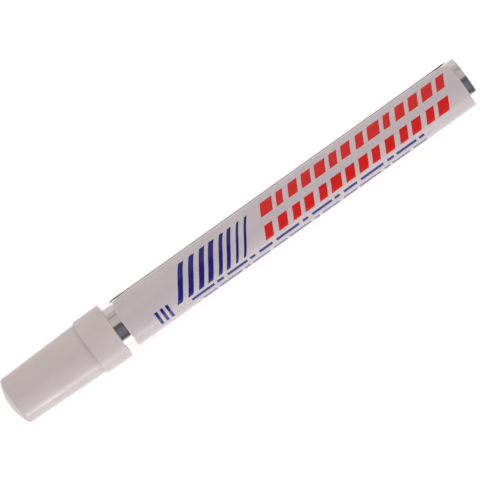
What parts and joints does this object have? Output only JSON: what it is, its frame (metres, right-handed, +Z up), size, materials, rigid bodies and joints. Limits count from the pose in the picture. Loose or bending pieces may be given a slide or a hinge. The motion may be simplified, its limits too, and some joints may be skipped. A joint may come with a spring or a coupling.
{
  "type": "paint marker",
  "caption": "Round paint marker: aluminium barrel in a printed film label, sprung valve opened by pressing its bullet nib, and a tapered pull-off cap with a wide band.",
  "frame": {"origin": "under the middle of the marker's length, on the surface that the cap's band touches when the marker lies on its side", "axes": "+X along the marker's axis towards the flat rear end of the barrel, -X towards the closed end of the cap, +Z up"},
  "size_m": [0.14, 0.0154, 0.0155],
  "materials": {
    "aluminium": "drawn and polished bare aluminium",
    "label_film": "white printed film, satin gloss",
    "holder_plastic": "moulded natural polypropylene",
    "black_rubber": "matt moulded rubber",
    "nib_fibre": "bonded polyester fibre",
    "stem_plastic": "moulded acetal",
    "cage_plastic": "moulded natural polypropylene",
    "spring_steel": "drawn stainless wire",
    "ball_steel": "polished steel",
    "cap_plastic": "moulded white polypropylene, fine satin",
    "liner_plastic": "soft natural polyethylene"
  },
  "bodies": {
    "barrel": {"barrel": "aluminium", "label": "label_film", "nib_holder": "holder_plastic", "holder_seal": "black_rubber", "valve_seat": "black_rubber", "valve_cage": "cage_plastic", "valve_spring": "spring_steel"},
    "cap": {"cap_shell": "cap_plastic", "cap_liner": "liner_plastic"},
    "nib": {"nib": "nib_fibre"},
    "valve_stem": {"valve_stem": "stem_plastic"},
    "mixing_ball": {"mixing_ball": "ball_steel"}
  },
  "joints": [
    {"name": "cap_pull", "type": "slide", "parent": "barrel", "child": "cap", "axis": [-1, 0, 0], "range_m": [0, 0.045]},
    {"name": "nib_press", "type": "slide", "parent": "barrel", "child": "nib", "axis": [1, 0, 0], "range_m": [0, 0.002], "stiffness_N_per_m": 600, "springref_m": -0.002, "deforming": ["valve_spring"]},
    {"name": "valve_lift", "type": "slide", "parent": "barrel", "child": "valve_stem", "axis": [1, 0, 0], "range_m": [0, 0.002]},
    {"name": "ball_travel", "type": "slide", "parent": "barrel", "child": "mixing_ball", "axis": [-1, 0, 0], "range_m": [0, 0.0852]}
  ],
  "couplings": [
    {"joint": "valve_lift", "follows": "nib_press", "ratio": 1}
  ]
}
